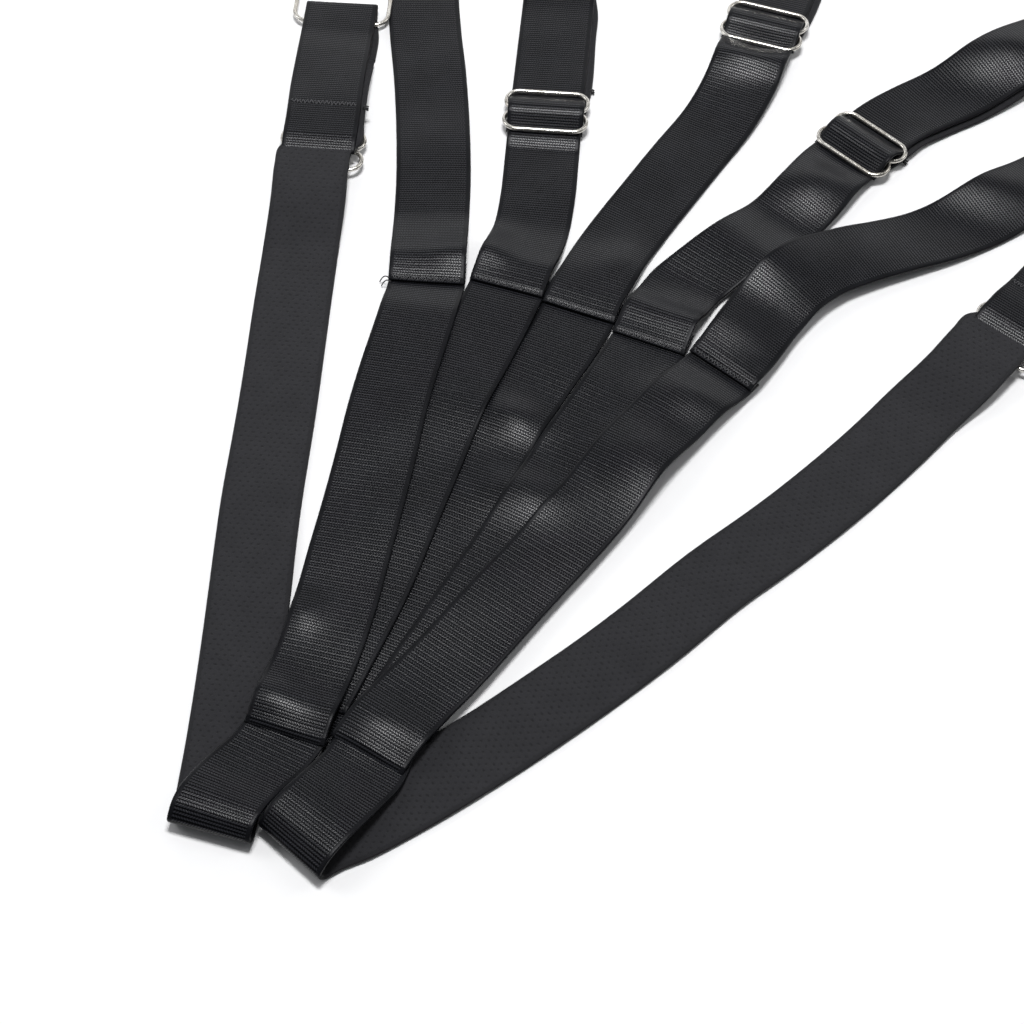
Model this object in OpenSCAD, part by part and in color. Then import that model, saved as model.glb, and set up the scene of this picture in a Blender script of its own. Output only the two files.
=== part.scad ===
// Seven-leg elastic suspender set, laid out flat.
// Five short straps fan out of one sewn junction, the two outer legs start at the same
// junction, fold over and lie with their backs up. Every leg ends in a wire ring and a clip.
// Millimetres, +Z up, the straps rest on z = 0.

/* [Webbing] */
// Width of the elastic webbing
web_w = 24.6; // [20:0.2:24.6]
// Thickness of the elastic webbing
web_t = 1.3; // [0.9:0.1:1.3]

/* [Slides] */
// Outer width of a wire slide, across the strap
slide_w = 29; // [28:0.5:32]
// Distance between the outer bars of a slide
slide_bars = 17.5; // [16:0.5:18]
// Diameter of the slide's wire
slide_wire = 1.5; // [1.2:0.1:1.5]

/* [Rings] */
// Outer width of an end ring
ring_w = 34; // [32:0.5:36]
// Distance between the ring's two cross bars
ring_l = 20; // [19:0.5:22]
// Radius of the ring's corners, at the wire's centre line
ring_corner = 5; // [4:0.5:5]
// Diameter of the ring's wire
ring_wire = 1.5; // [1.2:0.1:1.5]

/* [Clips] */
// Width of a clip's plate
clip_w = 16; // [15:0.5:20]
// Length of a clip, from the ring's bar to the tip of the jaw
clip_l = 36; // [34:1:42]
// Thickness of the clip's sheet metal
clip_t = 1; // [0.8:0.1:1]
// Diameter of the pin that the lever turns on
pin_d = 1.6; // [1.4:0.1:1.6]

/* [Hidden] */
$fn = 48;
// Running clearance round a hinge pin, and the gap between parts that move apart
pin_gap = 0.07;
move_gap = 0.35;
// Height of one more layer of webbing: the layer and the gap above it
layer = 1.65;
// Largest spacing of the rings of a strap's sweep
sweep_step = 7;
// Middle of the layout, which becomes the origin
middle_x = 81.2;
middle_y = 95.3;

// Wire centre heights: a slide on top of its strap, a slide underneath, and a ring
slide_up_z = 2 * layer + slide_wire / 2;
slide_down_z = 3.35;
ring_z = 2.4;
// Underside of the strap beside a slide: slide on top, and slide underneath
over_table = layer;
over_slide = 4.45;
// Underside of the upper layer where a strap's end goes round a ring's bar
over_bar = 3.5;

// A route is a list of stations [x, y, height of the underside, azimuth of the width].
// Lower straps of the fan, from the seam down to the junction
lower_routes = [
    [[-27, 98, 2, -3], [-27.5, 89, 2.7, -5], [-29.5, 78, 3.3, -10], [-31.5, 69, 3.3, -12],
     [-35, 54, 3.3, -12], [-38.5, 37, 3.3, -11], [-41.5, 19, 3.3, -10], [-45, 0, 3.3, -10],
     [-48.5, -18, 3.3, -11], [-52, -36, 3.3, -13], [-56.5, -54, 3.3, -15], [-61, -68, 3.3, -18],
     [-65, -81, 3.6, -20]],
    [[0.7, 94, 1.65, -18], [-2, 86, 1.65, -19], [-6, 75, 1.65, -20], [-12, 60, 1.65, -20],
     [-19, 43, 1.65, -19], [-31, 7, 1.65, -18], [-43, -30, 1.65, -19], [-51, -50, 1.65, -21],
     [-59, -69, 1.65, -23]],
    [[24, 85, 0, -21], [21, 77, 0, -22], [15, 64, 0, -25], [6, 48, 0, -26], [-2, 33, 0, -26],
     [-15, 4, 0, -24], [-31, -34, 0, -23], [-48.5, -76, 0, -23]],
    [[46, 71.5, 0, -22], [43, 64, 0, -24], [38, 54, 0.4, -27], [32, 42, 1.65, -29],
     [25, 30, 1.65, -29], [7, -3, 1.65, -29], [-13, -39, 1.65, -29], [-34, -77, 1.65, -29]],
    [[70, 57.5, 1.65, -41], [65, 51.5, 1.65, -41], [55.5, 41, 3.3, -40], [46.5, 30, 3.3, -37],
     [38, 19.5, 3.3, -35], [25, 0, 3.3, -35], [-1, -34, 3.3, -36], [-19, -58, 3.3, -37],
     [-31, -73, 3.4, -36], [-41.5, -88, 4.1, -32]]
];

// Upper straps, from the seam up to the stretch that the slide runs on (legs 3, 4 and 5),
// or up to the end that goes round the ring (legs 2 and 6)
upper_routes = [
    [[-27.5, 89, 4.35, -5], [-27, 99, 3.65, -3], [-26.6, 110, 1.4, -1], [-26.3, 120, 0, 0],
     [-26, 134, 0, 0], [-26.5, 158, 0, 2], [-28, 184, 0, 4], [-30, 206, 0, 4],
     [-30.8, 222, 0, 0]],
    [[-2, 86, 3.3, -19], [0.8, 94.5, 3.3, -17], [4, 104, 1.4, -14], [6.5, 114, 0, -9],
     [8.2, 125, 0.5, -6], [9, 134, 1.65, -5], [11.5, 163.5, 1.65, -5], [15, 203, 1.65, -5]],
    [[21, 77, 1.65, -22], [24, 85, 1.65, -22], [28, 93.5, 0.6, -24], [33, 104, 0, -28],
     [40, 116, 0, -32], [48.5, 129.5, 0, -33], [59, 146, 0, -31], [70, 163, 0, -27],
     [78, 179, 0.6, -22], [82.5, 191, 1.65, -19], [87, 204, 1.65, -19], [99.4, 240, 1.65, -19]],
    [[43, 64, 1.65, -24], [46, 71.5, 1.65, -24], [50, 80, 0.7, -28], [56, 88.5, 0, -35],
     [65.5, 97, 0, -41], [78, 106.5, 0, -43], [90, 117.5, 0, -43], [98.5, 127, 0.5, -43],
     [106.5, 138, 1.65, -44], [116.5, 148.5, 1.65, -44], [126.2, 158.6, 1.65, -44]],
    [[65, 51.5, 3.3, -41], [70, 57.5, 3.3, -40], [75.5, 65.5, 2.4, -37], [82, 75.5, 1.65, -37],
     [90, 85, 1.65, -42], [99, 92.5, 1.65, -50], [110, 98.5, 0.4, -58], [123, 104, 0, -62],
     [138, 110, 0, -60], [154, 118.5, 0, -57], [168, 128, 0, -55], [184, 139, 0, -53]]
];

// Outer legs: from the junction to the fold, round it, and back under to the slide
outer_routes = [
    [[-63.5, -77.5, 1.65, -23], [-68.5, -86, 2.2, -28], [-76, -95.5, 5, -27],
     [-79.5, -100.5, 6.6, -24], [-82, -106, 7.1, -21], [-83.5, -110.6, 6.2, -19],
     [-84, -112.4, 3.6, -17], [-83.8, -110.6, 1, -15], [-83.3, -106, 0, -12], [-82, -94, 0, -8],
     [-80, -70, 0, -6], [-78.5, -45, 0, -5], [-76.3, 0, 0, -5], [-73, 40, 0, -5],
     [-70, 85, 0, -5], [-68.6, 104, 0.4, -5], [-66.8, 124, 4.45, -5], [-64.8, 147, 4.45, -5],
     [-62.4, 174.8, 4.45, -5]],
    [[-36.5, -83.5, 1.65, -29], [-41.5, -92, 2.2, -31], [-48.5, -101, 5, -35],
     [-53.5, -107.5, 6.6, -38], [-57.3, -113, 7.1, -41], [-60.3, -117, 6.2, -43],
     [-61.4, -118.5, 3.6, -44], [-60.2, -117.3, 1, -45], [-56, -114.5, 0, -48],
     [-47, -110, 0, -52], [-33, -101.5, 0, -54], [-8.5, -84.5, 0, -53], [18.5, -63.5, 0, -50],
     [40, -45, 0, -47], [59, -27, 0, -45], [77, -12, 0, -45], [97, 6, 0, -44],
     [117, 26.5, 0, -43], [127, 37.5, 0.4, -41], [141, 51, 4.45, -40], [155, 67.5, 4.45, -40],
     [165.9, 80.5, 4.45, -40]]
];

// Runs of the doubled end of each leg, up to the middle of the ring's bar, [x, y, azimuth]
end_runs = [
    [[-62.3, 175.5, -5], [-61, 190, -5], [-59.5, 207.3, -5]],
    [[-30.7, 226, -1], [-29, 241, -5], [-26, 262, -8]],
    [[15.1, 203.7, -5], [15.9, 213, -5], [17.7, 233.5, -5]],
    [[99.6, 240.7, -19], [102.7, 250, -19], [106.7, 261.2, -19]],
    [[126.7, 159, -45], [137, 166, -51], [151, 174, -55], [164.5, 183, -56.5],
     [185, 196.3, -56.5]],
    [[184.8, 139.5, -53], [196, 148, -53], [210.6, 158.8, -53]],
    [[166.3, 81, -41], [176, 91, -46], [188, 100, -52], [202, 109.5, -55]]
];

LEGS = [1, 2, 3, 4, 5, 6, 7];
// Legs with a slide, the slide's middle [x, y], and the azimuth of its bars
SLIDE_LEGS = [1, 3, 4, 5, 7];
slide_at = [[-63.3, 147, -5], [11.5, 163.5, -5], [87, 204, -19], [116.5, 148.5, -44],
            [157, 66, -40]];
// Legs whose strap lies back up, with the slide underneath
BACK_UP_LEGS = [1, 7];

function leg(n, piece) = str("leg", n, "_", piece);

// ---- Strap sweep ----------------------------------------------------------------------

function has(list, n) = len(search(n, list)) > 0;
function last(list) = list[len(list) - 1];
function reversed(list) = [for (i = [len(list) - 1:-1:0]) list[i]];
function at(list, i) = list[min(max(i, 0), len(list) - 1)];
function span(a, b) = max(0.01, norm([for (k = [0:2]) b[k] - a[k]]));
function slope(a, b) = (b - a) / span(a, b);

// Tangent at station i, with the height held level at its highs and lows
function tangent(r, i) =
    let (p = at(r, i - 1), c = r[i], q = at(r, i + 1), u = slope(p, c), v = slope(c, q),
         wu = i == 0 ? 0 : span(c, q), wv = i == len(r) - 1 ? 0 : span(p, c),
         m = (u * wu + v * wv) / max(0.01, wu + wv))
    [m[0], m[1], u[2] * v[2] <= 0 ? 0 : m[2], m[3]];

function along(r, i, t) =
    let (d = span(r[i], r[i + 1]), a = tangent(r, i) * d, b = tangent(r, i + 1) * d,
         t2 = t * t, t3 = t2 * t)
    (2 * t3 - 3 * t2 + 1) * r[i] + (t3 - 2 * t2 + t) * a
    + (3 * t2 - 2 * t3) * r[i + 1] + (t3 - t2) * b;

function smooth(r) = [
    for (i = [0:len(r) - 2])
        let (n = max(2, ceil(span(r[i], r[i + 1]) / sweep_step)))
        for (k = [0:n - 1]) along(r, i, k / n),
    last(r)
];

function unit(v) = v / norm(v);
function middle(s) = [s[0], s[1], max(0, s[2]) + web_t / 2];
function across(s) = [cos(s[3]), sin(s[3]), 0];

// The four corners of the webbing's section at station i
function section(r, i) =
    let (c = middle(r[i]), w = across(r[i]),
         t = middle(at(r, i + 1)) - middle(at(r, i - 1)),
         up = unit(cross(w, t)) * web_t / 2, side = w * web_w / 2)
    [c - side - up, c + side - up, c + side + up, c - side + up];

module webbing(route) {
    r = smooth(route);
    n = len(r);
    color("#26272b")
    polyhedron(
        points = [for (i = [0:n - 1]) each section(r, i)],
        faces = [
            [0, 1, 2, 3],
            for (i = [0:n - 2], j = [0:3])
                let (a = 4 * i, k = (j + 1) % 4)
                each [[a + j, a + 4 + k, a + k], [a + j, a + 4 + j, a + 4 + k]],
            [for (j = [3:-1:0]) 4 * (n - 1) + j]
        ]);
}

// ---- Straps ---------------------------------------------------------------------------

function zone_height(n) = has(BACK_UP_LEGS, n) ? over_slide : over_table;
function run_of(n) = end_runs[n - 1];
function bar_of(n) = last(run_of(n));
function ahead(n, s) =
    let (b = bar_of(n)) [b[0] - sin(b[2]) * s, b[1] + cos(b[2]) * s];

// Half circle of the strap round the ring's bar, from the lower layer to the upper one
loop_reach = 6.4;
loop_r = over_bar / 2;
function bar_turn(n) = [
    for (a = [-90:30:90])
        let (p = ahead(n, loop_reach + loop_r * cos(a)))
        [p[0], p[1], loop_r + loop_r * sin(a), bar_of(n)[2]]
];

// Both layers of a leg's end: out along the table, round the bar and back above
function end_loop_route(n) =
    let (run = run_of(n), low = [for (p = run) [p[0], p[1], 0, p[2]]],
         near = ahead(n, -5))
    concat(low, bar_turn(n),
           [[near[0], near[1], over_bar, bar_of(n)[2]]],
           [for (i = [len(run) - 2:-1:0])
               [run[i][0], run[i][1], i == 0 ? zone_height(n) : layer + 0.6, run[i][2]]]);

// Upper strap of a leg with no slide: its end goes round the bar and is sewn underneath
tail_end = 21;
function plain_leg_route(n) =
    let (run = run_of(n), near = ahead(n, -5), tail = ahead(n, -tail_end),
         before = ahead(n, -tail_end - 2))
    concat(upper_routes[n - 2],
           [[before[0], before[1], layer, bar_of(n)[2]],
            [run[1][0] * 0.4 + near[0] * 0.6, run[1][1] * 0.4 + near[1] * 0.6, layer + 0.6,
             bar_of(n)[2]],
            [near[0], near[1], over_bar, bar_of(n)[2]]],
           reversed(bar_turn(n)),
           [[near[0], near[1], 0, bar_of(n)[2]], [tail[0], tail[1], 0, bar_of(n)[2]]]);

module lower_strap(n) { webbing(lower_routes[n - 2]); }
module upper_strap(n) {
    webbing(has(SLIDE_LEGS, n) ? upper_routes[n - 2] : plain_leg_route(n));
}
module outer_strap(n) { webbing(outer_routes[n == 1 ? 0 : 1]); }
module end_loop(n) { webbing(end_loop_route(n)); }

// ---- Wire slides ----------------------------------------------------------------------

module wire_bar(length, d) {
    translate([-length / 2, 0, 0])
        rotate([0, 90, 0])
            cylinder(d = d, h = length);
}

module wire_arc(radius, d, from, sweep) {
    rotate([0, 0, from])
        rotate_extrude(angle = sweep)
            translate([radius, 0])
                circle(d = d, $fn = 32);
}

slide_lobe = slide_bars / 4;
slide_straight = slide_w - slide_wire - 2 * slide_lobe;

// Two lobes side by side, sharing the bar in the middle
module slide_wire_form() {
    for (y = [-1, 0, 1])
        translate([0, y * slide_bars / 2, 0])
            wire_bar(slide_straight, slide_wire);
    for (x = [-1, 1], y = [-1, 1])
        translate([x * slide_straight / 2, y * slide_lobe, 0])
            wire_arc(slide_lobe, slide_wire, x * 90 + 180, 180);
}

module place_slide(n) {
    i = search(n, SLIDE_LEGS)[0];
    z = has(BACK_UP_LEGS, n) ? slide_down_z : slide_up_z;
    translate([slide_at[i][0], slide_at[i][1], z])
        rotate([0, 0, slide_at[i][2]])
            children();
}

module slide(n) {
    color("silver")
    place_slide(n) slide_wire_form();
}

// Webbing that goes with the slide: the sewn end round the middle bar and the strap on it
wrap_w = 17.6;
wrap_r = 3.2;
wrap_bore = 0.85;
wrap_skirt = 0.65;
module bar_wrap(n) {
    facing = has(BACK_UP_LEGS, n) ? 180 : 0;
    color("#26272b")
    place_slide(n)
        rotate([facing, 0, 0])
            rotate([90, 0, 90])
                translate([0, 0, -wrap_w / 2])
                    linear_extrude(wrap_w)
                        difference() {
                            circle(r = wrap_r);
                            circle(r = wrap_bore);
                            translate([-2 * wrap_r, -4 * wrap_r - wrap_skirt])
                                square(4 * wrap_r);
                        }
}

// ---- Rings ----------------------------------------------------------------------------

module place_end(n, s) {
    p = ahead(n, s);
    translate([p[0], p[1], ring_z])
        rotate([0, 0, bar_of(n)[2]])
            children();
}

ring_half = (ring_w - ring_wire) / 2;
module ring_wire_form() {
    long = 2 * (ring_half - ring_corner);
    short = ring_l - 2 * ring_corner;
    for (y = [0, ring_l])
        translate([0, y, 0])
            wire_bar(long, ring_wire);
    for (x = [-1, 1]) {
        translate([x * ring_half, ring_l / 2, 0])
            rotate([0, 0, 90])
                wire_bar(short, ring_wire);
        translate([x * long / 2, ring_corner, 0])
            wire_arc(ring_corner, ring_wire, x > 0 ? -90 : 180, 90);
        translate([x * long / 2, ring_l - ring_corner, 0])
            wire_arc(ring_corner, ring_wire, x > 0 ? 0 : 90, 90);
    }
}

module ring(n) {
    color("silver")
    place_end(n, 0) ring_wire_form();
}

// ---- Clips ----------------------------------------------------------------------------

// Measured from the ring's far bar, +Y towards the jaw, z = 0 at the bar's centre
knuckle_r = 2.35;
knuckle_w = 12;
plate_z = -knuckle_r;
pin_y = clip_l - 9;
pin_z = 1.6;
ear_r = 3.2;
barrel_r = 1.8;
lever_w = clip_w - 2 * clip_t - 0.5;
flap_start = 9;
toe_y = 1.2;
toe_drop = 2.3;

module plate_outline() {
    h = clip_w / 2;
    k = knuckle_w / 2;
    polygon([[-k, 0], [k, 0], [k, 3], [h, 7], [h, clip_l - 4], [h - 3, clip_l],
             [3 - h, clip_l], [-h, clip_l - 4], [-h, 7], [-k, 3]]);
}

module clip_ear() {
    rotate([90, 0, 90])
        linear_extrude(clip_t)
            difference() {
                union() {
                    translate([pin_y, pin_z]) circle(r = ear_r);
                    translate([pin_y - ear_r, plate_z]) square([2 * ear_r, pin_z - plate_z]);
                }
                translate([pin_y, pin_z]) circle(d = pin_d + 0.1);
            }
}

module clip_plate_form() {
    difference() {
        union() {
            wire_bar(knuckle_w, 2 * knuckle_r);
            translate([0, 0, plate_z]) linear_extrude(clip_t) plate_outline();
            translate([clip_w / 2 - clip_t, 0, 0]) clip_ear();
            translate([-clip_w / 2, 0, 0]) clip_ear();
        }
        wire_bar(knuckle_w + 2, ring_wire + 2 * move_gap);
    }
}

module clip_lever_form() {
    difference() {
        union() {
            translate([0, pin_y, pin_z]) wire_bar(lever_w, 2 * barrel_r);
            translate([-lever_w / 2, flap_start, pin_z + barrel_r - clip_t])
                cube([lever_w, pin_y - flap_start, clip_t]);
            translate([0, flap_start, pin_z + barrel_r - 0.2])
                wire_bar(lever_w, 2 * clip_t);
            translate([-lever_w / 2, pin_y - 0.6, pin_z - toe_drop])
                cube([lever_w, toe_y + 0.6, toe_drop]);
        }
        translate([0, pin_y, pin_z]) wire_bar(clip_w, pin_d + 2 * pin_gap);
    }
}

module clip_plate(n) {
    color("gainsboro")
    place_end(n, ring_l) clip_plate_form();
}
module clip_lever(n) {
    color("silver")
    place_end(n, ring_l) clip_lever_form();
}
module clip_pin(n) {
    color("dimgray")
    place_end(n, ring_l)
        translate([0, pin_y, pin_z])
            wire_bar(clip_w + 0.6, pin_d);
}

// ---- Assembly -------------------------------------------------------------------------

translate([-middle_x, -middle_y, 0]) {
    for (n = [2:6])
        lower_strap(n);
    for (n = [2:6])
        upper_strap(n);
    for (n = BACK_UP_LEGS)
        outer_strap(n);
    for (n = SLIDE_LEGS) {
        end_loop(n);
        slide(n);
        bar_wrap(n);
    }
    for (n = LEGS) {
        ring(n);
        clip_plate(n);
        clip_lever(n);
        clip_pin(n);
    }
}
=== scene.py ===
import math

import bpy
import numpy as np
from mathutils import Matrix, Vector


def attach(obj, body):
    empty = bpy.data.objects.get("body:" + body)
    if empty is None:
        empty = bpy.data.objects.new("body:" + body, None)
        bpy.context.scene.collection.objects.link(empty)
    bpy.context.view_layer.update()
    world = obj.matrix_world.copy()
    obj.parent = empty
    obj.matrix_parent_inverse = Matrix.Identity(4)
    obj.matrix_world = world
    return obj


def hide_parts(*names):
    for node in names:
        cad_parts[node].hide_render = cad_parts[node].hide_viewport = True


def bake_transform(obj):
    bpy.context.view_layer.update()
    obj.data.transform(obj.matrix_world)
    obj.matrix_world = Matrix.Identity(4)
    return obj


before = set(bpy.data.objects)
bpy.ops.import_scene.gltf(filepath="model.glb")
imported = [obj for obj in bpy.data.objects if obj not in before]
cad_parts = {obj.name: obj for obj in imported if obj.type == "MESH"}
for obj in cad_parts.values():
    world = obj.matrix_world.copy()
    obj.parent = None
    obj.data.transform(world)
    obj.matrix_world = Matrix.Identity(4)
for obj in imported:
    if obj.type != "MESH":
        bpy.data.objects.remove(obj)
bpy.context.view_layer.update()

MM = 0.001
# Middle of the layout, which is the row frame's origin
MIDDLE = np.array([81.2, 95.3, 0.0])

# Webbing: its section, the width of the closed selvedge at each side, how deep and how far in its
# edge is rounded, and how far the loops of its yarn stand out there
WEB_W = 24.6
WEB_T = 1.3
SELVEDGE = 1.4
EDGE_DEPTH = 0.26
EDGE_IN = 0.25
EDGE_LOOP = 0.1
# Satin face: pitch of the ribs, depth of the grooves between them, and width of one float
RIB = 0.95
GROOVE = 0.02
FLOAT = 0.85
# Spacing of the mesh rows along a strap, of the finer samples of its route, and of the mesh columns
# across its satin, a plush side that shows, and one that does not
ROW = RIB / 4
SAMPLE = 0.12
SATIN_STEP = 1.6
PLUSH_STEP = 0.42
HIDDEN_STEP = 2.4
# Plush back: pitch, depth and radius of the dots where the pile is tied down
DOT_ACROSS = 2.4
DOT_ALONG = 3.5
DOT_DEPTH = 0.1
DOT_RADIUS = 0.55
# Cut end under a seam: length that is pressed flat, and the share of the thickness left there
SEWN_LENGTH = 2
SEWN_SHARE = 0.3

# Sewing thread: radius, sides of its section, and pitch of a zigzag
THREAD_R = 0.17
THREAD_SIDES = 5
STITCH = 1.3
# Place of the stitches along a back-up leg's end webbing
SEWN_AT = 20.5

# Height of a slide's wires, and of a strap's underside: on one more layer, over a slide that lies
# underneath, and over a ring's bar
SLIDE_Z = 4.05
OVER_TABLE = 1.65
OVER_SLIDE = 4.45
OVER_BAR = 3.5
# Gap between a back-up leg's strap on its slide and the sewn end above it
LAYER_GAP = 0.15
# The turn round a ring's bar: how far it starts past the end run, and its radius
LOOP_REACH = 6.4
LOOP_R = OVER_BAR / 2
# Lower layer past a ring: length on an adjustable leg, on a plain one and on a back-up one, and how
# far it shows beside the upper layer
TAIL = 4
PLAIN_TAIL = 21
BACK_UP_TAIL = 16
PEEP = 1.7
# The strap on a slide: half its length, spacing of its stations, rise of its crest over the bar,
# radius of the crest, slope of its flanks, softness of their feet, how far these sink into the layer
# below, and how much wider the strap lies there
HUMP_REACH = 8.7
HUMP_STEP = 0.6
CREST_RISE = 2.5
CREST_R = 5.5
HUMP_SLOPE = 36
HUMP_EASE = 0.3
HUMP_SINK = 0.25
SPREAD = 1.045

# Middle bar of each slide (x, y, azimuth of its length), and each leg's run from there to its ring
SLIDE_AT = {
    1: (-63.3, 147, -5),
    3: (11.5, 163.5, -5),
    4: (87, 204, -19),
    5: (116.5, 148.5, -44),
    7: (157, 66, -40),
}
END_RUNS = {
    1: [(-62.3, 175.5, -5), (-61, 190, -5), (-59.5, 207.3, -5)],
    2: [(-30.7, 226, -1), (-29, 241, -5), (-26, 262, -8)],
    3: [(15.1, 203.7, -5), (15.9, 213, -5), (17.7, 233.5, -5)],
    4: [(99.6, 240.7, -19), (102.7, 250, -19), (106.7, 261.2, -19)],
    5: [(126.7, 159, -45), (137, 166, -51), (151, 174, -55), (164.5, 183, -56.5),
        (185, 196.3, -56.5)],
    6: [(184.8, 139.5, -53), (196, 148, -53), (210.6, 158.8, -53)],
    7: [(168.6, 79.2, -40), (177.5, 90, -46), (188, 100, -52), (202, 109.5, -55)],
}

# Stations of a route: x, y, height of the underside, azimuth of the width, and its roll if it has
# one. LOWER and UPPER are sewn together in the fan. OUTER has the two back-up legs, whose straps lie
# satin side up to their fold and plush side up from there.
LOWER = {
    2: [(-27, 98, 0.3, -3), (-27.5, 89, 0.9, -5), (-29.5, 78, 3.1, -10), (-31.5, 69, 3.3, -12),
        (-35, 54, 3.3, -12), (-38.5, 37, 3.3, -11), (-41.5, 19, 3.3, -10), (-45, 0, 3.3, -10),
        (-48.5, -18, 3.3, -11), (-52, -36, 3.3, -13), (-56.5, -54, 3.3, -15), (-60, -65, 3.9, -17),
        (-62.3, -72, 4.9, -18), (-65, -81, 3.1, -20)],
    3: [(0.7, 94, 0.2, -18), (-2, 86, 1.3, -19), (-6, 75, 1.65, -20), (-12, 60, 1.65, -20),
        (-19, 43, 1.65, -19), (-31, 7, 1.65, -18), (-43, -30, 1.65, -19), (-51, -50, 1.65, -21),
        (-59, -69, 1.65, -23)],
    4: [(24, 85, 0, -21), (21, 77, 0, -22), (15, 64, 0, -25), (6, 48, 0, -26), (-2, 33, 0, -26),
        (-15, 4, 0, -24), (-31, -34, 0, -23), (-52, -86, 0, -23)],
    5: [(46, 71.5, 0, -22), (43, 64, 0.2, -24), (38, 54, 0.8, -27), (32, 42, 1.65, -29),
        (25, 30, 1.65, -29), (7, -3, 1.65, -29), (-13, -39, 1.65, -29), (-34, -77, 1.65, -29)],
    6: [(67.8, 54.8, 1.65, -41), (65, 51.5, 1.65, -41), (55.5, 41, 3.3, -40), (46.5, 30, 3.3, -37),
        (38, 19.5, 3.3, -35), (25, 0, 3.3, -35), (-1, -34, 3.3, -36), (-19, -58, 3.3, -37),
        (-29.5, -71, 3.9, -36), (-34.5, -78, 4.9, -35), (-41.5, -88, 3.1, -32)],
}
UPPER = {
    2: [(-27.5, 89, 2.4, -5), (-27.2, 94, 3.2, -4), (-27, 99, 3.7, -3), (-26.7, 107, 2.2, -1),
        (-26.4, 117, 0.3, 0), (-26, 134, 0, 0), (-26.5, 158, 0, 2), (-28, 184, 0, 4),
        (-30, 206, 0, 4), (-30.8, 222, 0, 0)],
    3: [(-2, 86, 2.8, -19), (-0.4, 91, 3.2, -18), (1.2, 96, 3.5, -16), (4, 104, 1.9, -14),
        (6.5, 114, 0.2, -9), (8.2, 125, 0.1, -6), (9.8, 143, 0, -5), (10.2, 148.3, 0.1, -5),
        (10.7, 154, OVER_TABLE, -5), (11.5, 163.5, OVER_TABLE, -5), (15, 203, OVER_TABLE, -5)],
    4: [(21, 77, 1.65, -22), (24, 85, 2.3, -22), (26.5, 90, 2.1, -23), (33, 104, 0.2, -28),
        (40, 116, 0, -32), (48.5, 129.5, 0, -33), (59, 146, 0, -31), (70, 163, 0.6, -27),
        (78, 179, 2, -22), (82.5, 191, 2, -19), (87, 204, OVER_TABLE, -19),
        (99.4, 240, OVER_TABLE, -19)],
    5: [(43, 64, 1.65, -24), (44.5, 68, 2.0, -24), (47.5, 75, 3.3, -26), (51.5, 81.5, 1.2, -30),
        (56, 88.5, 0.3, -35), (65.5, 97, 1.8, -41), (76, 105, 3.2, -43), (90, 117.5, 1, -43),
        (98.5, 127, 1.2, -43), (106.5, 138, OVER_TABLE, -44), (116.5, 148.5, OVER_TABLE, -44),
        (126.2, 158.6, OVER_TABLE, -44)],
    6: [(65, 51.5, 3.3, -41), (68, 55, 3.9, -41), (72, 60.5, 3.7, -39, -4), (82, 75.5, 4.8, -37, -9),
        (90, 85, 6.0, -42, -12), (99, 92.5, 5.8, -50, -10), (110, 98.5, 4.2, -58, -3),
        (123, 104, 2.2, -62, 3), (138, 110, 1.0, -60, 3), (154, 118.5, 0, -57),
        (168, 128, 0.6, -55), (184, 139, 1.2, -53)],
}
OUTER = {
    1: [(-63.5, -77.5, 1.65, -23), (-68.5, -86, 2.2, -28), (-76, -95.5, 4.2, -27),
        (-79.5, -101, 5.8, -24), (-81.9, -105.6, 6.7, -21.5), (-83.6, -109.8, 6.1, -19.5),
        (-84.4, -112.6, 3.6, -17), (-84, -111, 1.1, -15), (-83.3, -106, 0, -12),
        (-82, -94, 0, -8), (-80, -70, 0, -6), (-78.5, -45, 0, -5), (-76.3, 0, 0, -5),
        (-73, 40, 0, -5), (-70, 85, 0, -5), (-68.6, 104, 0.4, -5), (-66.8, 124, 3.6, -5),
        (-66.2, 138, OVER_SLIDE, -5), (-65.5, 144.2, OVER_SLIDE, -5),
        (-62.2, 149.2, OVER_SLIDE, -5), (-61.7, 158, OVER_SLIDE, -5), (-60.7, 175, 3.6, -5),
        (-59.3, 189.8, OVER_TABLE, -5)],
    7: [(-38.5, -83, 1.65, -31), (-42, -92, 2.6, -32), (-46.5, -98.5, 4.2, -34),
        (-50.5, -104, 5.8, -37), (-55.2, -110.2, 6.9, -39.5), (-59.5, -115.8, 6.2, -42),
        (-61.6, -118.8, 3.7, -44), (-60.6, -117.8, 0.9, -45), (-56, -114.5, 0, -48),
        (-47, -110, 0, -52), (-33, -101.5, 0, -54), (-8.5, -84.5, 0, -53), (18.5, -63.5, 0, -50),
        (40, -45, 0, -47), (59, -27, 0, -45), (77, -12, 0, -45), (97, 6, 0, -44),
        (117, 26.5, 0, -43), (127, 37.5, 0.4, -41), (141, 51, 3.6, -40),
        (148.5, 59.8, OVER_SLIDE, -40), (153.2, 65.4, OVER_SLIDE, -40),
        (159.2, 67.3, OVER_SLIDE, -40), (164.3, 73.4, OVER_SLIDE, -40),
        (169.3, 78.6, 3.6, -41), (178.1, 89.4, OVER_TABLE, -46)],
}

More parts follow.
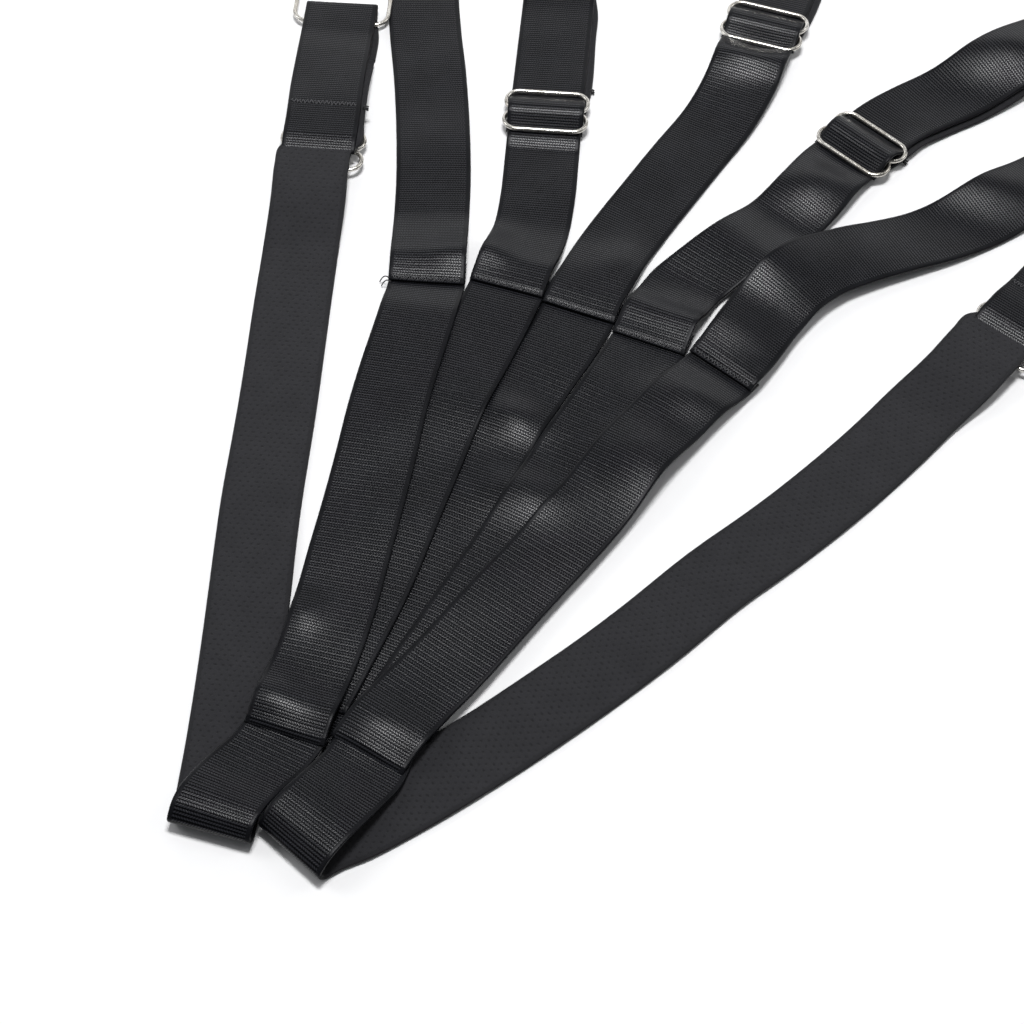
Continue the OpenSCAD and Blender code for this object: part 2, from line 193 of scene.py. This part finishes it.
# Soft waves in the straps, which every layer follows: x, y, height, half width, half length and
# azimuth. They and the slight UNEVEN rise and fall die out round a slide, over FLAT_ROUND.
UNEVEN = 0.1
FLAT_ROUND = 15
WAVES = [
    (12, 52, 0.9, 30, 22, 0), (-30, 40, 0.6, 26, 22, 0), (1.2, 34, 2.2, 11, 8, -26),
    (4, 4, 1.9, 14, 9, -22), (41, 13, 3.8, 19, 18, -26), (54, 40, 2.4, 14, 10, -28),
    (-62, -40, 1.3, 7, 7, -13), (-7, 104, 1.8, 8, 8, -14), (-20, 101, 1.2, 8, 8, 0),
    (-43, -80, 1.0, 9, 8, -20), (-69, -68, 1.0, 8, 8, -10), (71, 66.5, 2.2, 18, 11, -30),
    (36, 98, 1.5, 9, 9, -28), (82.5, 189, 5.2, 19, 9, -12), (98, 130, 3.8, 17, 12, -18),
    (82, 93, 2.0, 24, 12, -43), (152, 132, 4.4, 26, 12, -15), (168, 190, 6.2, 24, 14, -15),
    (-24, 150, 0.8, 16, 18, 0),
]


def place(points):
    """Layout millimetres to metres in the row frame."""
    return (np.asarray(points, float) - MIDDLE) * MM


def lift(x, y):
    """Height of the waves and of the straps' slight unevenness at a place."""
    height = UNEVEN * (2 + np.sin(x / 7 + y / 11) + np.sin(y / 6 - x / 13))
    for wx, wy, h, wide, deep, azimuth in WAVES:
        turn = math.radians(azimuth)
        a = (x - wx) * math.cos(turn) + (y - wy) * math.sin(turn)
        s = (y - wy) * math.cos(turn) - (x - wx) * math.sin(turn)
        height = height + h * np.exp(-((a / wide) ** 2) - (s / deep) ** 2)
    for sx, sy, _ in SLIDE_AT.values():
        height = height * (1 - np.exp(-((np.hypot(x - sx, y - sy) / FLAT_ROUND) ** 4)))
    return height


# ---- Materials --------------------------------------------------------------------------


class Graph:
    """Short calls that add shader nodes; each returns the new node's output."""

    def __init__(self, name):
        self.material = bpy.data.materials.new(name)
        self.material.use_nodes = True
        self.nodes = self.material.node_tree.nodes
        self.links = self.material.node_tree.links
        self.shader = self.nodes["Principled BSDF"]

    def put(self, socket, value):
        if isinstance(value, bpy.types.NodeSocket):
            self.links.new(value, socket)
        else:
            socket.default_value = value

    def math(self, operation, a, b=0.0, clamp=False):
        node = self.nodes.new("ShaderNodeMath")
        node.operation = operation
        node.use_clamp = clamp
        for socket, value in zip(node.inputs, (a, b)):
            self.put(socket, value)
        return node.outputs[0]

    def add(self, a, b):
        return self.math("ADD", a, b)

    def minus(self, a, b):
        return self.math("SUBTRACT", a, b)

    def times(self, a, b):
        return self.math("MULTIPLY", a, b)

    def fine_ribs(self, v):
        """Runs from -1 to 1 and back twice in each rib."""
        return self.math("SINE", self.times(v, 4 * math.pi / RIB))

    def inside_selvedge(self, u, blur):
        """1 on the strap's body, 0 on its selvedges."""
        edge = WEB_W / 2 - SELVEDGE
        return self.ramp(self.math("ABSOLUTE", u), edge - blur, edge + blur, 1.0, 0.0)

    def noise(self, vector, scale, detail=3.0, roughness=0.6):
        node = self.nodes.new("ShaderNodeTexNoise")
        self.put(node.inputs["Vector"], vector)
        node.inputs["Scale"].default_value = scale
        node.inputs["Detail"].default_value = detail
        node.inputs["Roughness"].default_value = roughness
        return node.outputs["Fac"]

    def ramp(self, value, low, high, out_low=0.0, out_high=1.0):
        node = self.nodes.new("ShaderNodeMapRange")
        node.interpolation_type = "SMOOTHSTEP"
        for socket, number in zip(node.inputs, (value, low, high, out_low, out_high)):
            self.put(socket, number)
        return node.outputs["Result"]

    def mix(self, factor, dark, light):
        node = self.nodes.new("ShaderNodeMix")
        node.data_type = "RGBA"
        self.put(node.inputs["Factor"], factor)
        self.put(node.inputs[6], (*dark, 1))
        self.put(node.inputs[7], (*light, 1))
        return node.outputs[2]

    def bump(self, height, distance, strength=1.0):
        node = self.nodes.new("ShaderNodeBump")
        node.inputs["Distance"].default_value = distance
        node.inputs["Strength"].default_value = strength
        self.put(node.inputs["Height"], height)
        self.put(self.shader.inputs["Normal"], node.outputs[0])

    def weave_place(self):
        """Place across and along the webbing, in millimetres, and as one vector."""
        uv = self.nodes.new("ShaderNodeUVMap")
        uv.uv_map = "weave"
        split = self.nodes.new("ShaderNodeSeparateXYZ")
        self.put(split.inputs[0], uv.outputs[0])
        return split.outputs[0], split.outputs[1], uv.outputs[0]

    def object_place(self):
        return self.nodes.new("ShaderNodeTexCoord").outputs["Object"]

    def set(self, **values):
        for name, value in values.items():
            self.put(self.shader.inputs[name.replace("_", " ")], value)


def satin_material():
    """Ribbed face: each rib is a row of slanting floats, which lean the other way in the next; its
    base colour has a painted highlight on each rib's top and painted shade in each groove.
    """
    g = Graph("satin_face")
    u, v, uv = g.weave_place()
    grain = g.noise(uv, 1.6, 2.0)
    cloud = g.noise(uv, 0.09, 2.0)
    body = g.inside_selvedge(u, 0.15)
    row = g.math("DIVIDE", v, RIB)
    across_rib = g.math("PINGPONG", row, 0.5)
    odd = g.math("FLOORED_MODULO", g.math("FLOOR", row), 2.0)
    side = g.minus(g.times(odd, 2.0), 1.0)
    slant = g.times(g.times(side, 1.1), g.minus(g.math("FRACT", row), 0.5))
    column = g.add(g.math("DIVIDE", u, FLOAT), g.add(slant, g.times(grain, 0.5)))
    stroke = g.ramp(g.math("PINGPONG", column, 0.5), 0.08, 0.3)
    floats = g.times(g.times(stroke, g.ramp(across_rib, 0.06, 0.3)), body)
    edge = g.times(g.minus(1.0, body), g.add(g.times(g.fine_ribs(v), 0.2), 0.7))
    # Painted rib light: the base colour is lighter on each rib's top and darker in the groove between
    # ribs, a painted highlight and painted shade beside the real grooves
    rib_light_and_groove_shade = g.times(g.times(g.ramp(across_rib, 0.22, 0.46), body), g.add(grain, 0.3))
    # weave is the floats' and selvedge's pattern together with the painted rib highlight and groove
    # shade
    weave = g.add(g.times(g.add(floats, edge), 0.25), g.times(rib_light_and_groove_shade, 0.7))
    tone = g.math("ADD", weave, g.minus(g.times(cloud, 0.4), 0.2), clamp=True)
    shine = g.add(floats, g.times(edge, 0.25))
    g.set(Base_Color=g.mix(tone, (0.0009, 0.001, 0.0014), (0.022, 0.023, 0.0285)),
          Roughness=g.minus(g.ramp(grain, 0.2, 0.8, 0.33, 0.38), g.times(floats, 0.06)),
          Specular_Tint=g.mix(shine, (0.1, 0.1, 0.11), (1, 1, 1)),
          Specular_IOR_Level=0.37)
    g.bump(g.add(floats, g.times(grain, 0.4)), 0.018 * MM)
    return g.material


def plush_material():
    """Brushed back: short pile, with painted shade in the sunken dots where it is tied down."""
    g = Graph("plush_back")
    u, v, uv = g.weave_place()
    pile = g.noise(uv, 5.5, 4.0, 0.7)
    tufts = g.noise(uv, 0.9, 2.0, 0.5)
    cloud = g.noise(uv, 0.12, 2.0)
    body = g.inside_selvedge(u, 0.2)
    along = g.math("DIVIDE", v, DOT_ALONG / 2)
    odd = g.times(g.math("FLOORED_MODULO", g.math("FLOOR", along), 2.0), 0.5)
    shift = g.times(g.minus(tufts, 0.5), 0.9)
    across = g.add(g.add(g.math("DIVIDE", u, DOT_ACROSS), odd), shift)
    du = g.times(g.minus(g.math("FRACT", across), 0.5), DOT_ACROSS)
    dv = g.times(g.minus(g.math("FRACT", along), 0.5), DOT_ALONG / 2)
    away = g.math("SQRT", g.add(g.times(du, du), g.times(dv, dv)))
    ragged = g.add(away, g.times(g.minus(pile, 0.5), 0.7))
    # Painted shade: this dot mask dips the bump and paints the pile darker in each sunken dot; on the
    # selvedge a fine rib comb takes its place
    dot_dip_and_shade = g.ramp(ragged, 0.1, 0.65, 0.35, 1.0)
    comb = g.add(g.times(g.fine_ribs(v), 0.3), 0.6)
    dot_dip_and_shade = g.add(g.times(dot_dip_and_shade, body), g.times(g.minus(1.0, body), comb))
    # Base colour: random pile tone times the painted shade of the dots
    tone = g.times(dot_dip_and_shade, g.add(g.times(pile, 0.8), g.times(cloud, 0.4)))
    g.set(Base_Color=g.mix(tone, (0.006, 0.006, 0.0072), (0.028, 0.028, 0.032)), Roughness=0.9,
          Specular_IOR_Level=0.2, Sheen_Weight=0.15, Sheen_Roughness=0.5)
    g.bump(g.add(g.times(dot_dip_and_shade, 0.5), pile), 0.12 * MM)
    return g.material


def thread_material(name, dark, light):
    """Spun thread: fine uneven fibres."""
    g = Graph(name)
    twist = g.noise(g.object_place(), 3000.0, 2.0)
    g.set(Base_Color=g.mix(twist, dark, light), Roughness=0.5)
    g.bump(twist, 0.05 * MM)
    return g.material


def metal_material(name, colour, dull, roughness, wear):
    """Plated metal: faint duller blotches, and tiny pits that roughen it."""
    g = Graph(name)
    at = g.object_place()
    blotch = g.noise(at, 160.0, 3.0)
    pits = g.noise(at, 2600.0, 4.0, 0.7)
    g.set(Metallic=1.0, Base_Color=g.mix(g.ramp(blotch, 0.35, 0.7), colour, dull),
          Roughness=g.ramp(pits, 0.25, 0.8, roughness, roughness + wear))
    g.bump(pits, 0.02 * MM, 0.5)
    return g.material


SATIN = satin_material()
PLUSH = plush_material()
THREAD = thread_material("sewing_thread", (0.02, 0.02, 0.023), (0.085, 0.085, 0.092))
LOOSE_THREAD = thread_material("loose_thread", (0.004, 0.004, 0.005), (0.02, 0.02, 0.022))
NICKEL_WIRE = metal_material("nickel_wire_plate", (0.68, 0.66, 0.62), (0.5, 0.47, 0.42), 0.2, 0.18)
NICKEL_PLATE = metal_material("nickel_sheet_plate", (0.5, 0.485, 0.455), (0.37, 0.36, 0.335),
                              0.4, 0.16)
STEEL_PIN = metal_material("steel_pin_metal", (0.55, 0.55, 0.56), (0.42, 0.42, 0.43), 0.28, 0.15)


# ---- Webbing ----------------------------------------------------------------------------


def smooth(stations):
    """Fine samples of the smooth curve through a route's stations, as part.scad draws it. Its
    height levels out at the ends and wherever it stops rising or falling."""
    r = np.array([list(s) + [0.0] * (5 - len(s)) for s in stations], float)
    d = np.maximum(0.01, np.linalg.norm(np.diff(r[:, :3], axis=0), axis=1))
    slope = np.diff(r, axis=0) / d[:, None]
    m = np.vstack([slope[:1], slope[:-1], slope[-1:]])[: len(r)]
    m[1:-1] = (slope[:-1] * d[1:, None] + slope[1:] * d[:-1, None]) / (d[1:] + d[:-1])[:, None]
    m[-1] = slope[-1]
    m[0, 2] = m[-1, 2] = 0
    level = slope[:-1, 2] * slope[1:, 2] <= 0
    m[1:-1, 2][level] = 0
    parts = []
    for i in range(len(r) - 1):
        t = np.linspace(0, 1, max(2, math.ceil(d[i] / SAMPLE)), endpoint=False)[:, None]
        t2, t3 = t * t, t**3
        parts.append((2 * t3 - 3 * t2 + 1) * r[i] + (t3 - 2 * t2 + t) * m[i] * d[i]
                     + (3 * t2 - 2 * t3) * r[i + 1] + (t3 - t2) * m[i + 1] * d[i])
    return np.vstack(parts + [r[-1:]])


def rows_along(stations, facing=1):
    """Centre, width direction, face normal and length at each row of the weave."""
    s = smooth(stations)
    centre = s[:, :3].copy()
    centre[:, 2] = np.maximum(0, centre[:, 2]) + WEB_T / 2
    length = np.concatenate([[0], np.cumsum(np.linalg.norm(np.diff(centre, axis=0), axis=1))])
    v = np.arange(0, length[-1], ROW)
    centre = np.column_stack([np.interp(v, length, centre[:, k]) for k in range(3)])
    az = np.radians(np.interp(v, length, s[:, 3]))
    roll = np.radians(np.interp(v, length, s[:, 4]))
    across = np.column_stack([np.cos(az) * np.cos(roll), np.sin(az) * np.cos(roll), np.sin(roll)])
    across *= facing
    forward = np.gradient(centre, axis=0)
    up = np.cross(across, forward)
    up /= np.linalg.norm(up, axis=1)[:, None]
    return centre, across, up, v


def from_edge(inner_step):
    """Places across half of the webbing, close together at the selvedge."""
    edge = [0.1, 0.3, 0.65, 1.05, SELVEDGE, SELVEDGE + 0.3]
    count = max(2, round((WEB_W / 2 - edge[-1]) / inner_step) + 1)
    return np.array(edge + list(np.linspace(edge[-1], WEB_W / 2, count))[1:])


def columns(inner_step):
    """Places across the whole width, from one edge to the other."""
    half = from_edge(inner_step)
    return np.concatenate([half - WEB_W / 2, (WEB_W / 2 - half[:-1])[::-1]])


def dots(a, v):
    """Depth of the plush side's dots."""
    along = v / (DOT_ALONG / 2)
    du = (a / DOT_ACROSS + 0.5 * (np.floor(along) % 2)) % 1 - 0.5
    dv = along % 1 - 0.5
    away = np.hypot(du * DOT_ACROSS, dv * DOT_ALONG / 2)
    return DOT_DEPTH * np.clip(1 - away / DOT_RADIUS, 0, 1)


def pressed(v, start, end):
    """Share of the full thickness, less where a cut end is pressed flat by its seam."""
    share = np.ones(len(v))
    for pressed_here, away in ((start, v), (end, v[-1] - v)):
        if pressed_here:
            rise = np.clip(away / SEWN_LENGTH, 0, 1) ** 0.7
            share = np.minimum(share, SEWN_SHARE + (1 - SEWN_SHARE) * rise)
    return share


def webbing(name, stations, facing=1, plush_shows=False, sewn_start=False, sewn_end=False,
            spread=1):
    """One strap of elastic webbing, with real ribs, selvedges and edge loops, and with real plush
    dots where plush_shows. The satin face is up where the route runs towards +Y and facing is 1."""
    centre, across, up, v = rows_along(stations, facing)
    top = columns(SATIN_STEP)
    bottom = columns(PLUSH_STEP if plush_shows else HIDDEN_STEP)[::-1]
    a = np.concatenate([top, [WEB_W / 2], bottom, [-WEB_W / 2]])
    side = np.concatenate([np.ones(len(top)), [0], -np.ones(len(bottom)), [0]])
    edge = WEB_W / 2 - np.abs(a)
    body = np.clip((edge - SELVEDGE + 0.3) / 0.5, 0, 1)
    phase = 2 * np.pi * v / RIB
    groove = GROOVE * np.clip(np.cos(phase), 0, 1)[:, None] * (0.25 + 0.75 * body)[None, :]
    rounding = EDGE_DEPTH * np.exp(-edge / EDGE_IN)
    height = WEB_T / 2 - rounding[None, :] - groove * (side > 0)
    if plush_shows:
        height = height - (side < 0) * body * dots(a[None, :], v[:, None])
    loops = EDGE_LOOP * np.cos(2 * phase)[:, None] * np.exp(-edge / 0.3)[None, :] * np.sign(a)[None, :]
    out = height * side[None, :]
    share = pressed(v, sewn_start, sewn_end)[:, None]
    out = (out + WEB_T / 2) * share - WEB_T / 2
    points = (centre[:, None, :] + (spread * a[None, :] + loops)[:, :, None] * across[:, None, :]
              + out[:, :, None] * up[:, None, :])
    points[:, :, 2] += lift(points[:, :, 0], points[:, :, 1])
    return grid_mesh(name, points, a, v, len(top), len(bottom))


def grid_mesh(name, points, a, v, n_top, n_bottom):
    """A closed tube of quads over rows of points, capped at both ends. Each row runs over the top,
    one point at the right edge, back over the bottom, and one point at the left edge; a and v are
    the places across and along, and become the weave's UV."""
    n, m = points.shape[:2]
    index = np.arange(n * m).reshape(n, m)
    right = np.roll(index, -1, axis=1)
    quads = np.stack([index[:-1], right[:-1], right[1:], index[1:]], axis=-1).reshape(-1, 4)
    mesh = bpy.data.meshes.new(name)
    caps = [index[0][::-1].tolist(), index[-1].tolist()]
    loops = np.concatenate([quads.ravel(), *caps])
    mesh.vertices.add(n * m)
    mesh.vertices.foreach_set("co", place(points.reshape(-1, 3)).ravel())
    mesh.loops.add(len(loops))
    mesh.loops.foreach_set("vertex_index", loops)
    mesh.polygons.add(len(quads) + 2)
    starts = np.concatenate([np.arange(len(quads)) * 4, len(quads) * 4 + np.array([0, m])])
    mesh.polygons.foreach_set("loop_start", starts)
    mesh.materials.append(SATIN)
    mesh.materials.append(PLUSH)
    is_plush = (np.arange(m) >= n_top + 1) & (np.arange(m) < n_top + n_bottom)
    slots = np.concatenate([np.tile(is_plush, n - 1), [False, False]]).astype(np.int32)
    mesh.polygons.foreach_set("material_index", slots)
    is_smooth = np.concatenate([np.ones(len(quads)), [0, 0]]).astype(bool)
    mesh.polygons.foreach_set("use_smooth", is_smooth)
    mesh.update(calc_edges=True)
    uv = mesh.uv_layers.new(name="weave")
    where = np.stack([np.tile(a, n), np.repeat(v, m)], axis=-1)
    uv.data.foreach_set("uv", where[loops].ravel())
    mesh.validate()
    piece = bpy.data.objects.new(name, mesh)
    bpy.context.scene.collection.objects.link(piece)
    return piece


def declare(stations):
    """Works out a strap's length along its route; nothing is done with it."""
    length = rows_along(stations)[3][-1]


# ---- Where a leg's end goes round its ring ----------------------------------------------


def ahead(n, s):
    """The place at distance s past the end of a leg's run."""
    x, y, azimuth = END_RUNS[n][-1]
    turn = math.radians(azimuth)
    return x - math.sin(turn) * s, y + math.cos(turn) * s


def bar_turn(n):
    """Half circle from the upper layer down to the lower one, round the ring's near bar."""
    azimuth = END_RUNS[n][-1][2]
    turn = []
    for angle in range(90, -91, -15):
        x, y = ahead(n, LOOP_REACH + LOOP_R * math.cos(math.radians(angle)))
        turn.append((x, y, LOOP_R + LOOP_R * math.sin(math.radians(angle)), azimuth))
    return turn


def beside(station, shift):
    """The same station, moved across its width to the right."""
    x, y, z, azimuth = station
    turn = math.radians(azimuth)
    return x + shift * math.cos(turn), y + shift * math.sin(turn), z, azimuth


def near(n, s, z):
    """A station at distance s past the end of a leg's run."""
    x, y = ahead(n, s)
    return x, y, z, END_RUNS[n][-1][2]


def over_and_under(n, tail):
    """Upper layer into the ring, round its bar, and back underneath for a length."""
    return [near(n, -5, OVER_BAR), *bar_turn(n), near(n, -5, 0), near(n, -tail, 0)]


def follow_slide(piece):
    """The stretch between a leg's ring and its slide: its placement is baked into its mesh."""
    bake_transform(piece)


def slide_place(n, s, z):
    """A station at distance s from a slide's middle bar, towards the ring."""
    x, y, azimuth = SLIDE_AT[n]
    turn = math.radians(azimuth)
    return x - math.sin(turn) * s, y + math.cos(turn) * s, z, azimuth


# ---- Sewing thread ----------------------------------------------------------------------


def thread(name, points, radius=THREAD_R, material=THREAD):
    """Sewing thread along a list of points in layout millimetres."""
    p = np.asarray(points, float)
    forward = np.gradient(p, axis=0)
    forward /= np.linalg.norm(forward, axis=1)[:, None]
    side = np.cross(forward, (0, 0, 1))
    side /= np.linalg.norm(side, axis=1)[:, None]
    up = np.cross(side, forward)
    turn = np.arange(THREAD_SIDES) * 2 * math.pi / THREAD_SIDES
    round_it = np.cos(turn)[:, None] * side[:, None] + np.sin(turn)[:, None] * up[:, None]
    rings = p[:, None] + radius * round_it
    faces = [tuple(range(THREAD_SIDES))[::-1]]
    for i in range(len(p) - 1):
        for j in range(THREAD_SIDES):
            k = (j + 1) % THREAD_SIDES
            low = i * THREAD_SIDES
            faces.append((low + j, low + k, low + THREAD_SIDES + k, low + THREAD_SIDES + j))
    faces.append(tuple(range((len(p) - 1) * THREAD_SIDES, len(p) * THREAD_SIDES)))
    mesh = bpy.data.meshes.new(name)
    mesh.from_pydata(place(rings.reshape(-1, 3)).tolist(), [], faces)
    mesh.materials.append(material)
    mesh.polygons.foreach_set("use_smooth", [True] * len(faces))
    piece = bpy.data.objects.new(name, mesh)
    bpy.context.scene.collection.objects.link(piece)
    return piece


def on_face(stations, a, v, sewn):
    """Points on a strap's upper face, at a across and v along; below v = 0 they lie past the cut
    end, on the strap below."""
    centre, across, up, rows = rows_along(stations)
    share = pressed(rows, sewn, False)
    i = np.minimum(np.searchsorted(rows, np.maximum(v, 0)), len(rows) - 1)
    forward = np.gradient(centre, axis=0)
    forward /= np.linalg.norm(forward, axis=1)[:, None]
    height = np.where(v < 0, 0, share[i]) * WEB_T - WEB_T / 2
    past_end = np.minimum(v, 0)[:, None] * forward[i]
    points = centre[i] + a[:, None] * across[i] + height[:, None] * up[i] + past_end
    points[:, 2] += lift(points[:, 0], points[:, 1])
    return points


def zigzag(name, stations, middle, reach, sewn=False):
    """A row of zigzag stitches across a strap; the thread sinks in where it changes side."""
    length = WEB_W - 2
    k = np.arange(int(length / STITCH * 4))
    a = (k / 4) * STITCH - length / 2
    swing = np.array([0, 1, 0, -1])[k % 4]
    uneven = 0.12 * np.sin(2.3 * k) + 0.1 * np.sin(0.37 * k)
    points = on_face(stations, a + uneven, middle + reach * swing + uneven, sewn)
    points[:, 2] += THREAD_R * np.where(swing == 0, 1.0, 0.1)
    return thread(name, points)


def fan_seams():
    """Zigzag seams that sew the upper straps over the lower ones."""
    for n in UPPER:
        piece = zigzag(f"leg{n}_seam_thread", UPPER[n], 0.85, 0.55, sewn=True)
        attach(piece, "straps")


def thread_ends():
    """Thread ends left at seam 2, and at the right edge beside slides 1, 3 and 5."""
    t = np.linspace(0, 1, 8)
    for k, (x, y) in enumerate([(-39.4, 90.5), (-38.8, 88.8)]):
        points = np.column_stack([x - 3.2 * t, y - 0.5 + 1.5 * np.sin(2.2 * t), 4 - 3.4 * t * t])
        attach(thread(f"leg2_thread_end_{k}", points, 0.2, LOOSE_THREAD), "straps")
    # leg, distance from the slide's bar, distance from the strap's middle, height
    for n, s, reach, z in ((1, 17, 12, 6.2), (3, 13.3, 13.6, 0.9), (5, 6, 13, 0.9)):
        x, y, z, azimuth = beside(slide_place(n, s, z), reach)
        turn = math.radians(azimuth)
        for k, lean in enumerate((-0.3, 0.1, 0.6)):
            out = 1.7 * t
            ahead_by = 1.2 * lean * np.sin(1.8 * t)
            points = np.column_stack([x + out * math.cos(turn) - ahead_by * math.sin(turn),
                                      y + out * math.sin(turn) + ahead_by * math.cos(turn),
                                      z + 0.3 * k - 0.5 * t * t])
            follow_slide(thread(f"leg{n}_thread_end_{k}", points, 0.3, LOOSE_THREAD))


# ---- Straps -----------------------------------------------------------------------------


def lower_straps():
    """The fan out of the junction, from the upper seam down."""
    for n, stations in LOWER.items():
        piece = webbing(f"leg{n}_lower_webbing", stations, facing=-1, sewn_end=True)
        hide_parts(f"leg{n}_lower_strap")
        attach(piece, "straps")
        declare(stations)


def plain_straps():
    """Legs without a slide: up to the ring, round it, and back underneath."""
    for n in (2, 6):
        x, y, azimuth = END_RUNS[n][1]
        stations = [*UPPER[n], (x, y, OVER_TABLE + 0.3, azimuth), *over_and_under(n, PLAIN_TAIL)]
        piece = webbing(f"leg{n}_upper_webbing", stations, sewn_start=True)
        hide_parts(f"leg{n}_upper_strap")
        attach(piece, "straps")
        declare(stations)


def adjustable_straps():
    """Strap that lies flat under its slide, doubles at the ring, and comes back underneath."""
    for n in (3, 4, 5):
        run = [(x, y, OVER_TABLE + 0.2, azimuth) for x, y, azimuth in END_RUNS[n][1:-1]]
        stations = [*UPPER[n], *run, *over_and_under(n, TAIL + 5)]
        piece = webbing(f"leg{n}_upper_webbing", stations, sewn_start=True)
        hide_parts(f"leg{n}_upper_strap", f"leg{n}_end_loop")
        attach(piece, "straps")
        declare(stations)
        run = [(x, y, 0, azimuth) for x, y, azimuth in END_RUNS[n][-2::-1]]
        back = [near(n, -TAIL - 5.5, 0), *[beside(station, PEEP) for station in run],
                beside(slide_place(n, 9, 0), PEEP), slide_place(n, -3, 0)]
        piece = webbing(f"leg{n}_return_webbing", back)
        declare(back)
        follow_slide(piece)


def hump_stations(n):
    """Strap that passes under one outer bar, over the middle bar and under the other, taut."""
    low = OVER_TABLE - HUMP_SINK + WEB_T / 2
    turn = math.radians(HUMP_SLOPE)
    middle = SLIDE_Z + CREST_RISE - CREST_R
    stations = []
    crest_end = CREST_R * math.sin(turn)
    for s in np.arange(-HUMP_REACH, HUMP_REACH + 0.01, HUMP_STEP):
        away = abs(s)
        if away < crest_end:
            over = middle + math.sqrt(CREST_R**2 - s * s)
        else:
            over = middle + CREST_R * math.cos(turn) - (away - crest_end) * math.tan(turn)
        rise = low + HUMP_EASE * math.log1p(math.exp((over - low) / HUMP_EASE))
        stations.append(slide_place(n, s, rise - WEB_T / 2))
    return stations


def slide_humps():
    """The stretch of strap that a slide carries with it."""
    for n in (3, 4, 5):
        stations = hump_stations(n)
        piece = webbing(f"leg{n}_slide_hump", stations, spread=SPREAD)
        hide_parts(f"leg{n}_bar_wrap")
        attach(piece, f"leg{n}_slider")
        declare(stations)


def outer_straps():
    """Back-up legs: satin front run, the fold, and the plush run up over the slide."""
    for n in (1, 7):
        piece = webbing(f"leg{n}_webbing", OUTER[n], facing=-1, plush_shows=True)
        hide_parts(f"leg{n}_strap")
        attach(piece, "straps")
        declare(OUTER[n])


def outer_ends():
    """Satin return of a back-up leg: from the slide's middle bar to the ring and back below."""
    over = OVER_SLIDE + WEB_T + LAYER_GAP
    rise = ((-2.6, -2.2), (-2.2, -1.7), (-1.4, -1.25), (0, -0.8), (1.6, -0.35), (4, 0), (9, 0))
    for n, shift in ((1, -0.9), (7, 0)):
        top = [beside(slide_place(n, s, over + z), shift) for s, z in rise]
        middle = [(x, y, z, az) for (x, y, az), z in zip(END_RUNS[n][:-1], (5.2, 4.5, 4))]
        end = over_and_under(n, BACK_UP_TAIL)
        stations = [*top, *middle, *end[:-2], *(beside(station, PEEP) for station in end[-2:])]
        piece = webbing(f"leg{n}_end_webbing", stations)
        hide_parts(f"leg{n}_end_loop", f"leg{n}_bar_wrap")
        declare(stations)
        follow_slide(piece)
        follow_slide(zigzag(f"leg{n}_end_thread", stations, SEWN_AT, 0.9))


# ---- Hardware ---------------------------------------------------------------------------


def finish_hardware():
    """Metal finishes for the CAD's own slides, rings and clips."""
    looks = {"slide": NICKEL_WIRE, "ring": NICKEL_WIRE, "clip_plate": NICKEL_PLATE,
             "clip_lever": NICKEL_PLATE, "clip_pin": STEEL_PIN}
    for name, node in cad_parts.items():
        part = name.split("_", 1)[1]
        if part in looks:
            node.data.materials.clear()
            node.data.materials.append(looks[part])


# ---- Stage ------------------------------------------------------------------------------


def floor():
    """White table, 6 m square so that its edge stays out of every view."""
    g = Graph("white_table")
    mottle = g.noise(g.object_place(), 90.0, 4.0)
    g.set(Base_Color=g.mix(mottle, (0.86, 0.86, 0.87), (0.9, 0.9, 0.905)), Roughness=0.55,
          Specular_IOR_Level=0.3)
    half = 3.0
    mesh = bpy.data.meshes.new("floor")
    mesh.from_pydata([(-half, -half, 0), (half, -half, 0), (half, half, 0), (-half, half, 0)], [],
                     [(0, 1, 2, 3)])
    mesh.materials.append(g.material)
    piece = bpy.data.objects.new("floor", mesh)
    bpy.context.scene.collection.objects.link(piece)
    piece.location.z = -0.05 * MM


def area_light(name, size, energy, distance, azimuth, elevation, target):
    """A soft box in the direction given from the target, facing it."""
    data = bpy.data.lights.new(name, "AREA")
    data.shape = "RECTANGLE"
    data.size, data.size_y = size
    data.energy = energy
    a, e = math.radians(azimuth), math.radians(elevation)
    back = Vector((math.sin(a) * math.cos(e), -math.cos(a) * math.cos(e), math.sin(e)))
    light = bpy.data.objects.new(name, data)
    light.location = Vector(target) + back * distance
    light.rotation_euler = (-back).to_track_quat("-Z", "Y").to_euler()
    bpy.context.scene.collection.objects.link(light)


def camera():
    """Looks at the layout's own origin from the front, 54 degrees above the table."""
    elevation, distance = math.radians(54), 0.85
    target = Vector(place((0, 0, 0)))
    back = Vector((0, -math.cos(elevation), math.sin(elevation)))
    data = bpy.data.cameras.new("camera")
    data.sensor_width = 36
    data.lens = 98.6
    eye = bpy.data.objects.new("camera", data)
    eye.location = target + back * distance
    eye.rotation_euler = (-back).to_track_quat("-Z", "Y").to_euler()
    bpy.context.scene.collection.objects.link(eye)
    bpy.context.scene.camera = eye


def studio():
    """Table, camera, and soft light from above, behind and both sides."""
    floor()
    camera()
    target = place((20, 60, 0))
    area_light("overhead", (0.4, 0.3), 15, 1.3, 180, 85, target)
    area_light("back", (1.2, 0.3), 1.7, 0.6, 180, 30, place((20, 200, 0)))
    area_light("left", (0.6, 0.6), 4, 1.4, 255, 35, target)
    area_light("right", (0.6, 0.6), 3, 1.4, 105, 35, target)
    world = bpy.data.worlds.new("studio")
    world.use_nodes = True
    world.node_tree.nodes["Background"].inputs["Color"].default_value = (0.95, 0.97, 1.0, 1)
    world.node_tree.nodes["Background"].inputs["Strength"].default_value = 0.14
    bpy.context.scene.world = world
    bpy.context.scene.view_settings.view_transform = "Standard"


lower_straps()
plain_straps()
adjustable_straps()
slide_humps()
outer_straps()
outer_ends()
fan_seams()
thread_ends()
finish_hardware()
studio()
